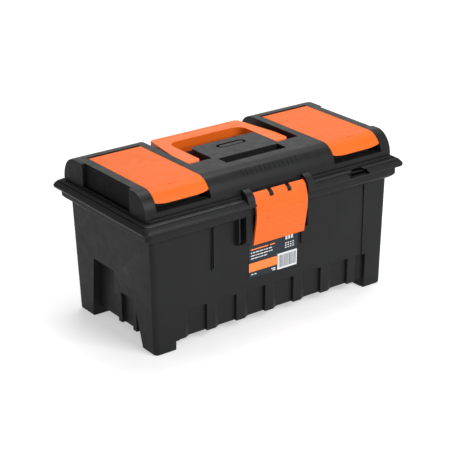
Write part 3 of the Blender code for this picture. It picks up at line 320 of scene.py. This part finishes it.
def boolean(obj, operation, bm):
    """Add or remove a shape drawn in millimetres."""
    helper = link("helper", mesh_of("helper", bm))
    modifier = obj.modifiers.new("boolean", "BOOLEAN")
    modifier.operation = operation
    modifier.solver = "EXACT"
    modifier.object = helper
    apply_modifiers(obj)
    bpy.data.objects.remove(helper, do_unlink=True)


def split_concave(mesh):
    """Cut concave flat faces into convex ones, or rounding can stretch one across an opening."""
    bm = bmesh.new()
    bm.from_mesh(mesh)
    bmesh.ops.connect_verts_concave(bm, faces=bm.faces)
    bm.to_mesh(mesh)
    bm.free()


def soften(obj, width, with_painted_highlight):
    """Round the moulded edges; when asked, the new faces take a paler, glossier copy of the plastic, a
    painted highlight along each rounded edge.
    """
    split_concave(obj.data)
    bevel = obj.modifiers.new("moulded_edges", "BEVEL")
    bevel.width = width * MM
    bevel.segments = 2
    bevel.limit_method = "ANGLE"
    bevel.angle_limit = MOULDED_ANGLE
    bevel.miter_outer = "MITER_ARC"
    bevel.use_clamp_overlap = True
    if with_painted_highlight:
        # the rounded edges take the painted highlight
        bevel.material = PAINTED_HIGHLIGHT
    apply_modifiers(obj)
    obj.data.shade_smooth()
    obj.data.set_sharp_from_angle(angle=SHARP_ANGLE)
    weighted = obj.modifiers.new("weighted_normals", "WEIGHTED_NORMAL")
    weighted.keep_sharp = True


def on_crown_end(face, x0, x1):
    """True for upright faces of the crown's ends between two distances from the middle."""
    centre = face.center / MM
    return abs(face.normal.x) > 0.9 and x0 < abs(centre.x) < x1 and centre.z > CROWN_LOW_Z


def in_padlock_window(face):
    """True inside the padlock's window, but not on its ledge: the faces that take the near-black painted
    shade.
    """
    centre = face.center / MM
    beside = abs(centre.x - WINDOW_X) < WINDOW_R + 0.2
    deep = lid_low.y + 1.5 < centre.y < WINDOW_DEEP_Y + 0.6
    return beside and deep and WINDOW_Z - 0.2 < centre.z < WINDOW_TOP_Z + 0.1 and face.normal.z < 0.5


def in_slot_gap(face):
    """True for the walls and the bottom of the gap in the deck's slot, the faces that take the near-black
    painted shade.
    """
    centre = face.center / MM
    beside = abs(centre.x) < SLOT_HALF_X + SLOT_R + 0.6 and abs(centre.y - SLOT_Y) < SLOT_R + 0.6
    return beside and DECK_Z - SLOT_DEPTH - 0.5 < centre.z < DECK_Z - 0.3


def lid_finish(face):
    """Which of the lid's finishes a face takes: near-black painted shade in the padlock window and the
    slot's gap, a rougher copy with painted shade on the crown's end walls, painted shade on the lugs'
    sides, else the plain plastic.
    """
    if in_padlock_window(face) or in_slot_gap(face):
        return PAINTED_HOLE_SHADE
    if on_crown_end(face, END_WALL_X, LUG_SIDE_X):
        return MATT_PAINTED_SHADE
    return PAINTED_LUG_SHADE if on_crown_end(face, LUG_SIDE_X, CROWN_END_X) else PLAIN


SOLE_Z = 0.3             # edges below this height are on the floor


def round_soles(obj, width):
    """Round the outer edges of the legs where they meet the floor."""
    bm = bmesh.new()
    bm.from_mesh(obj.data)
    edges = []
    for edge in bm.edges:
        if max(vert.co.z for vert in edge.verts) > SOLE_Z * MM or len(edge.link_faces) != 2:
            continue
        centre = (edge.verts[0].co + edge.verts[1].co) / 2.0
        for face in edge.link_faces:
            outward = face.normal.x * centre.x + face.normal.y * centre.y
            if abs(face.normal.z) < 0.3 and outward > 0.0:
                edges.append(edge)
    bmesh.ops.bevel(bm, geom=edges, offset=width * MM, segments=3, profile=0.5, affect="EDGES",
                    clamp_overlap=True)
    bm.to_mesh(obj.data)
    bm.free()


def dress(node, name, width, details=(), finish=None, sole=0.0):
    """Replace a CAD node by a softened copy with extra moulded detail.

    finish gives the lid's faces their finishes, painted shade among them; sole is the rounding of the
    edges on the floor.
    """
    slot = record_slots[node]
    obj = link(name, clean_copy(node))
    for operation, draw in details:
        bm = bmesh.new()
        draw(bm)
        boolean(obj, operation, bm)
    if sole:
        round_soles(obj, sole)
    obj.data.materials.clear()
    obj.data.materials.append(finishes[slot])
    if slot in painted_highlight_finishes:
        obj.data.materials.append(painted_highlight_finishes[slot])
    if finish is not None:
        # the lid's painted-shade materials
        for material in (lid_matt_painted_shade, lid_hole_painted_black, lid_lug_painted_shade):
            obj.data.materials.append(material)
    for face in obj.data.polygons:
        face.material_index = finish(face) if finish is not None else PLAIN
    soften(obj, width, with_painted_highlight=slot in painted_highlight_finishes)
    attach(obj, node_body[node])
    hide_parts(node)


lid_low, lid_high = box_mm("lid_shell")
label_low, label_high = box_mm("label")
latch_left_x = box_mm("front_latch")[0].x
grip_top_z = box_mm("carry_handle")[1].z
cover_bottom_z = box_mm("organizer_lid_left")[0].z
DECK_Z = lid_high.z
DOME_Y = -68.0           # axis and radii of the round front of the crown
DOME_Z = 184.0
DOME_RY = 26.0
DOME_RZ = 30.0
CROWN_LOW_Z = 181.0      # the crown's ends start at this height
END_WALL_X = 186.4       # just inside the crown's end walls
LUG_SIDE_X = 188.0       # between the end walls and the sides of the lugs
CROWN_END_X = 192.0      # just outside the lugs
ABOVE_FLANGE_Z = 186.0   # the flange grooves are cut from this height down


def dome_z(y):
    """Height of the crown's front at y."""
    return DOME_Z + DOME_RZ * math.sqrt(1.0 - min((y - DOME_Y) / DOME_RY, 0.0) ** 2)


EAR_OUTER_X = 53.4       # outer sides of the ears beside the latch
FLANGE_BACK_Y = 110.6    # back of the flange
FLANGE_R = 7.0           # round of its corners


def flange_path(half_x, front_y, back_y):
    """Points round the flange from right of the latch to left of it."""
    r = FLANGE_R
    path = [(EAR_OUTER_X, front_y)]
    path += arc(half_x - r, front_y + r, r, r, 270.0, 360.0, 6)
    path += arc(half_x - r, back_y - r, r, r, 0.0, 90.0, 6)
    path += arc(-half_x + r, back_y - r, r, r, 90.0, 180.0, 6)
    path += arc(-half_x + r, front_y + r, r, r, 180.0, 270.0, 6)
    path.append((-EAR_OUTER_X, front_y))
    return path


def flange_strip(corners):
    """Draw a strip round the flange; corners are (inset from the lid's outside, z)."""
    def draw(bm):
        paths = [flange_path(lid_high.x - inset, lid_low.y + inset + 0.2, FLANGE_BACK_Y - inset)
                 for inset, z in corners]
        rows = [[(*path[i], z) for path, (inset, z) in zip(paths, corners)] for i in range(len(paths[0]))]
        loft(bm, rows)
    return draw


def serrations(bm):
    """A row of short grip ribs on the front of the dome."""
    height, root = 0.45, 1.2
    start, end = 119.0, 139.0            # degrees round the dome
    count, first_x, pitch, width = 13, -43.0, 7.0, 2.6
    profile = arc(DOME_Y, DOME_Z, DOME_RY + height, DOME_RZ + height, start, end, 6)
    profile += arc(DOME_Y, DOME_Z, DOME_RY - root, DOME_RZ - root, end, start, 6)
    for i in range(count):
        x = first_x + i * pitch
        prism_x(bm, profile, x, x + width)


def pill(bm, half_x, r, y, z0, z1):
    """A flat slot with round ends."""
    outline = arc(half_x, y, r, r, -90.0, 90.0, 8) + arc(-half_x, y, r, r, 90.0, 270.0, 8)
    prism_z(bm, outline, z0, z1)


SLOT_Y = -1.4
SLOT_HALF_X = 15.6       # to the centres of the round ends
SLOT_R = 6.4
SLOT_DEPTH = 6.0


def slot_filler(bm):
    """Fill the CAD's slot, so that a slot with a raised floor can take its place."""
    half_x, half_y = 27.0, 7.0
    box(bm, (-half_x, half_x), (SLOT_Y - half_y, SLOT_Y + half_y), (DECK_Z - 7.5, DECK_Z - 0.02))


def slot_hole(bm):
    """The slot itself."""
    pill(bm, SLOT_HALF_X, SLOT_R, SLOT_Y, DECK_Z - SLOT_DEPTH, DECK_Z + 4.0)


def slot_floor(bm):
    """The raised floor of the slot, with a gap all round it."""
    pill(bm, SLOT_HALF_X - 1.0, SLOT_R - 2.5, SLOT_Y - 0.5, DECK_Z - SLOT_DEPTH - 1.0, DECK_Z - 0.2)


WINDOW_X = 126.5         # middle of the padlock's window and half its width
WINDOW_R = 14.5
WINDOW_Z = 172.4         # its lower edge and the top of its arch
WINDOW_TOP_Z = 183.8
WINDOW_LEDGE_Y = -104.3  # back of the ledge and of the part above it
WINDOW_DEEP_Y = -98.6


def window_front(bm):
    """The arched window for a padlock in the flange."""
    profile = arc(WINDOW_X, WINDOW_Z, WINDOW_R, WINDOW_TOP_Z - WINDOW_Z, 0.0, 180.0, 16)
    prism_y(bm, profile, lid_low.y - 10.0, WINDOW_LEDGE_Y)


def window_deep(bm):
    """Its upper part goes further in, over a ledge."""
    inset = 1.6
    profile = arc(WINDOW_X, WINDOW_Z, WINDOW_R - inset, WINDOW_TOP_Z - WINDOW_Z - inset, 22.0, 158.0, 14)
    prism_y(bm, profile, -108.0, WINDOW_DEEP_Y)


def window_back(bm):
    """A wall that closes the window, clear of the tub's rim, painted near black to stand for the shade
    inside the box.
    """
    half_x = 17.0
    box(bm, (WINDOW_X - half_x, WINDOW_X + half_x), (-107.8, -103.9), (170.6, 178.0))


def shoulder_lugs(bm):
    """Four round lugs that stand proud of the end faces of the crown."""
    ry, rz = DOME_RY - 0.2, DOME_RZ - 0.3
    base, top = 181.7, DOME_Z + rz
    inner, outer = 185.5, 191.3
    front_end, back_end = -58.2, 50.2    # flat sides that face each other
    back_y = 71.0                        # axis of the back lugs
    front = arc(DOME_Y, DOME_Z, ry, rz, 180.0, 90.0, 12)
    front += [(front_end, top), (front_end, base), (DOME_Y - ry, base)]
    back = arc(back_y, DOME_Z, ry, rz, 0.0, 90.0, 12)
    back += [(back_end, top), (back_end, base), (back_y + ry, base)]
    for profile in (front, back):
        for x0, x1 in ((-outer, -inner), (inner, outer)):
            prism_x(bm, profile, x0, x1)


crown_ridge = flange_strip(((12.2, 178.0), (12.2, 183.0), (13.9, 183.4), (13.9, 178.0)))
crown_groove = flange_strip(((8.4, ABOVE_FLANGE_Z), (8.4, 178.7), (9.8, 178.3), (12.0, 179.6),
                             (12.0, ABOVE_FLANGE_Z)))
bead_groove = flange_strip(((4.4, ABOVE_FLANGE_Z), (4.4, 176.9), (5.6, 176.9), (6.4, ABOVE_FLANGE_Z)))
lid_details = [(ADD, crown_ridge), (CUT, crown_groove), (CUT, bead_groove), (ADD, serrations),
               (ADD, slot_filler), (CUT, slot_hole), (ADD, slot_floor), (ADD, shoulder_lugs),
               (ADD, window_back), (CUT, window_front), (CUT, window_deep)]


LATCH_CURVE = ((116.0, -102.6), (129.0, -105.2), (140.0, -107.4), (151.0, -109.3), (160.0, -110.0),
               (166.5, -109.3), (173.5, -107.6), (179.6, -105.4))      # (z, y) up the latch's front


def latch_y(z):
    """Y of the latch's front at height z."""
    for (z0, y0), (z1, y1) in zip(LATCH_CURVE, LATCH_CURVE[1:]):
        if z0 <= z <= z1:
            return y0 + (y1 - y0) * (z - z0) / (z1 - z0)
    return LATCH_CURVE[-1][1]


def latch_grooves(bm):
    """Shallow finger grooves across the plate."""
    count, pitch, top = 5, 8.2, 167.0
    half_z, depth, clear, half_x = 1.5, 0.5, 0.4, 33.0
    for i in range(count):
        z = top - i * pitch
        upper = (latch_y(z + half_z) - clear, z + half_z)
        lower = (latch_y(z - half_z) - clear, z - half_z)
        prism_x(bm, [upper, (latch_y(z) + depth, z), lower], -half_x, half_x)


def notch_feet(bm):
    """The notches for the lid's webs stop a little above the plate's shoulder."""
    profile = [(-107.2, 174.4), (-106.2, 177.4), (-105.2, 177.4), (-105.2, 174.4)]
    half_x = 3.3
    for x in (-14.0, 14.0):
        prism_x(bm, profile, x - half_x, x + half_x)


def latch_nick(bm):
    """A small nick in the left edge of the plate."""
    box(bm, (latch_left_x - 2.0, latch_left_x + 1.6), (-115.0, -100.0), (169.8, 172.0))


def grip_lines(bm):
    """Two shallow grooves along the grip."""
    mouth, root, half_x = 0.7, 0.35, 56.0
    above, below = grip_top_z + 1.0, grip_top_z - 0.6
    for y in (64.5, 77.5):
        prism_x(bm, [(y - mouth, above), (y - root, below), (y + root, below), (y + mouth, above)],
                -half_x, half_x)


def wall_grooves(bm):
    """Narrow grooves beside the raised panel and beside the right corner pilaster, on the front."""
    bottom_y, top_z = -92.6, 156.0
    for x0, x1, low in ((-97.9, -95.4, 97.0), (143.9, 147.0, 56.0)):
        box(bm, (x0, x1), (-115.0, bottom_y), (low, top_z))


def cover_bow(x0, x1):
    """Trim the front lip of a cover to a slightly bowed edge with round corners."""
    def draw(bm):
        centre = (x0 + x1) / 2.0
        half = (x1 - x0) / 2.0
        steps = 24
        bow, corner_rise, corner_share = 3.2, 0.8, 0.12
        profile = []
        for i in range(steps + 1):
            t = -1.0 + 2.0 * i / steps
            corner = max(abs(t) - (1.0 - corner_share), 0.0) / corner_share
            rise = 0.3 + bow * t * t + corner_rise * corner ** 2
            profile.append((centre + t * (half + 0.6), cover_bottom_z + rise))
        profile += [(x1 + 2.0, cover_bottom_z - 5.0), (x0 - 2.0, cover_bottom_z - 5.0)]
        prism_y(bm, profile, -125.0, -80.0)
    return draw


DASH_X = (131.0, 145.0)  # ends of the thumb groove, from the middle of the box


def cover_dash(x0, x1):
    """A short thumb groove in the top of a cover."""
    def draw(bm):
        y, half_y, depth = -73.0, 0.55, 0.9
        box(bm, (x0, x1), (y - half_y, y + half_y), (dome_z(y) - depth, dome_z(y) + 2.0))
    return draw


dress("tub", "tub_shell", 0.9, [(CUT, wall_grooves)], sole=3.0)
dress("tote_tray", "tray_shell", 0.8)
dress("lid_shell", "lid_dome", 0.9, lid_details, finish=lid_finish)
dress("front_latch", "latch_plate", 0.7, [(ADD, notch_feet), (CUT, latch_grooves), (CUT, latch_nick)])
dress("carry_handle", "bail_handle", 0.9, [(CUT, grip_lines)])
for side, sign in (("left", -1.0), ("right", 1.0)):
    low, high = box_mm(f"organizer_lid_{side}")
    dash = sorted(sign * x for x in DASH_X)
    details = [(CUT, cover_bow(low.x, high.x)), (CUT, cover_dash(*dash))]
    dress(f"organizer_lid_{side}", f"cover_{side}", 0.8, details)
    dress(f"organizer_bin_{side}", f"bin_{side}", 0.6)
for node, obj in frame["nodes"].items():
    if not obj.hide_render:
        for index in range(len(obj.material_slots)):
            obj.material_slots[index].material = finishes[record_slots[node]]


# ---------------------------------------------------------------- print on the label

def label_face(z):
    """Y of the label's front at height z."""
    points = [v.co / MM for v in frame["nodes"]["label"].data.vertices]
    bottom = min(p.y for p in points if p.z < label_low.z + 0.5)
    top = min(p.y for p in points if p.z > label_high.z - 0.5)
    return bottom + (top - bottom) * (z - label_low.z) / (label_high.z - label_low.z)


def print_patches(name, material, patches, lift=0.06):
    """Printed areas as thin raised films; patches are (x0, x1, z0, z1)."""
    sunk = 0.05
    bm = bmesh.new()
    for x0, x1, z0, z1 in patches:
        profile = [(label_face(z0) - lift, z0), (label_face(z1) - lift, z1),
                   (label_face(z1) + sunk, z1), (label_face(z0) + sunk, z0)]
        prism_x(bm, profile, x0, x1)
    obj = link(name, mesh_of(name, bm))
    obj.data.materials.append(material)
    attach(obj, node_body["label"])


left, right = label_low.x, label_high.x
block_x = right - 32.0   # left edge of the white block


def upright_bars():
    """Fifteen upright bars of uneven width on the white block."""
    bars = []
    x = block_x + 2.5
    for i in range(15):
        width = 0.7 + 0.7 * ((i * 7) % 4) / 3.0
        bars.append((x, x + width, 69.5, 86.5))
        x += width + 0.8
    return bars


def dashed_lines():
    """Three lines of plain dashes of uneven length; rows are (z, length of the line)."""
    dashes = []
    for row, (z, length) in enumerate(((100.5, 38.0), (96.5, 42.0), (92.5, 34.0))):
        x = left + 3.0
        for i in range(9):
            width = 2.0 + 1.4 * ((i * 5 + row * 3) % 4)
            if x + width > left + length:
                break
            dashes.append((x, x + width, z, z + 1.3))
            x += width + 1.1
    return dashes


def small_marks():
    """Plain marks above the white block and along the foot of the label."""
    marks = [(block_x + 12.0 + i * 4.0, block_x + 14.4 + i * 4.0, z, z + 1.3)
             for i in range(4) for z in (94.5, 97.5, 100.5)]
    marks += [(block_x + 12.5 + i * 4.5, block_x + 15.5 + i * 4.5, 106.0, 113.0) for i in range(3)]
    marks += [(left + 4.0 + i * 5.0, left + 7.0 + i * 5.0, 70.5, 72.0) for i in range(2)]
    marks += [(block_x - 10.0, block_x - 3.0, 70.5, 71.8), (block_x - 8.0, block_x - 3.0, 68.2, 69.5)]
    return marks


print_patches("label_band", print_orange, [(left + 0.3, left + 46.0, 75.0, 87.0)])
print_patches("label_block", print_white, [(block_x, right - 0.6, 67.0, 89.0)])
print_patches("label_bars", print_grey, upright_bars(), lift=0.12)
print_patches("label_lines", print_white, dashed_lines())
print_patches("label_orange_lines", print_orange, [(left + 3.0, left + 30.0, 104.7, 106.3),
                                                    (left + 33.0, left + 41.0, 104.7, 106.3)])
print_patches("label_marks", print_white, small_marks())


# ---------------------------------------------------------------- floor, light and camera

def build_floor():
    """A wide pale floor, a hair below the soles, that glows a little."""
    half = 9000.0
    bm = bmesh.new()
    box(bm, (-half, half), (-half, half), (-20.0, -0.05))
    floor = link("studio_floor", mesh_of("studio_floor", bm))
    material, tree, shader, coords = new_material("floor_paper")
    paper = noise(tree, coords, scale=30.0, detail=2.0)
    tree.links.new(ramp(tree, paper, ((0.3, (0.61, 0.61, 0.61)), (0.7, (0.63, 0.63, 0.63)))),
                   shader.inputs["Base Color"])
    shader.inputs["Roughness"].default_value = 0.9
    shader.inputs["Specular IOR Level"].default_value = 0.1
    shader.inputs["Emission Color"].default_value = (1.0, 1.0, 1.0, 1.0)
    shader.inputs["Emission Strength"].default_value = 0.46
    floor.data.materials.append(material)


def build_world():
    """Even white light from all round."""
    world = bpy.data.worlds.new("studio")
    world.use_nodes = True
    background = world.node_tree.nodes["Background"]
    background.inputs["Color"].default_value = (1.0, 1.0, 1.0, 1.0)
    background.inputs["Strength"].default_value = WORLD_LIGHT
    bpy.context.scene.world = world


def add_light(name, place, size, power):
    """A square soft box that points at the object."""
    lamp = bpy.data.lights.new(name, "AREA")
    lamp.shape = "SQUARE"
    lamp.size = size
    lamp.energy = power
    obj = bpy.data.objects.new(name, lamp)
    obj.location = place
    obj.rotation_euler = (Vector(TARGET) - Vector(place)).to_track_quat("-Z", "Y").to_euler()
    bpy.context.scene.collection.objects.link(obj)


def build_camera():
    """The camera at the photo's angle, turned a little about its own axis."""
    azimuth = math.radians(AZIMUTH)
    elevation = math.radians(ELEVATION)
    back = Vector((math.sin(azimuth) * math.cos(elevation), -math.cos(azimuth) * math.cos(elevation),
                   math.sin(elevation)))
    across = Vector((0.0, 0.0, 1.0)).cross(back).normalized()
    matrix = Matrix((across, back.cross(across), back)).transposed().to_4x4()
    matrix.translation = Vector(TARGET) + back * DISTANCE
    data = bpy.data.cameras.new("camera")
    data.lens = LENS
    data.sensor_width = SENSOR
    camera = bpy.data.objects.new("camera", data)
    camera.matrix_world = matrix @ Matrix.Rotation(math.radians(ROLL), 4, "Z")
    bpy.context.scene.collection.objects.link(camera)
    bpy.context.scene.camera = camera


build_floor()
build_world()
add_light("key_light", (0.55, -2.3, 1.6), 1.4, 62.0)
add_light("top_light", (0.6, 0.5, 2.3), 1.5, 38.0)
add_light("back_light", (1.5, 2.1, 1.25), 1.6, 6.5)
build_camera()
bpy.context.scene.view_settings.view_transform = "Standard"
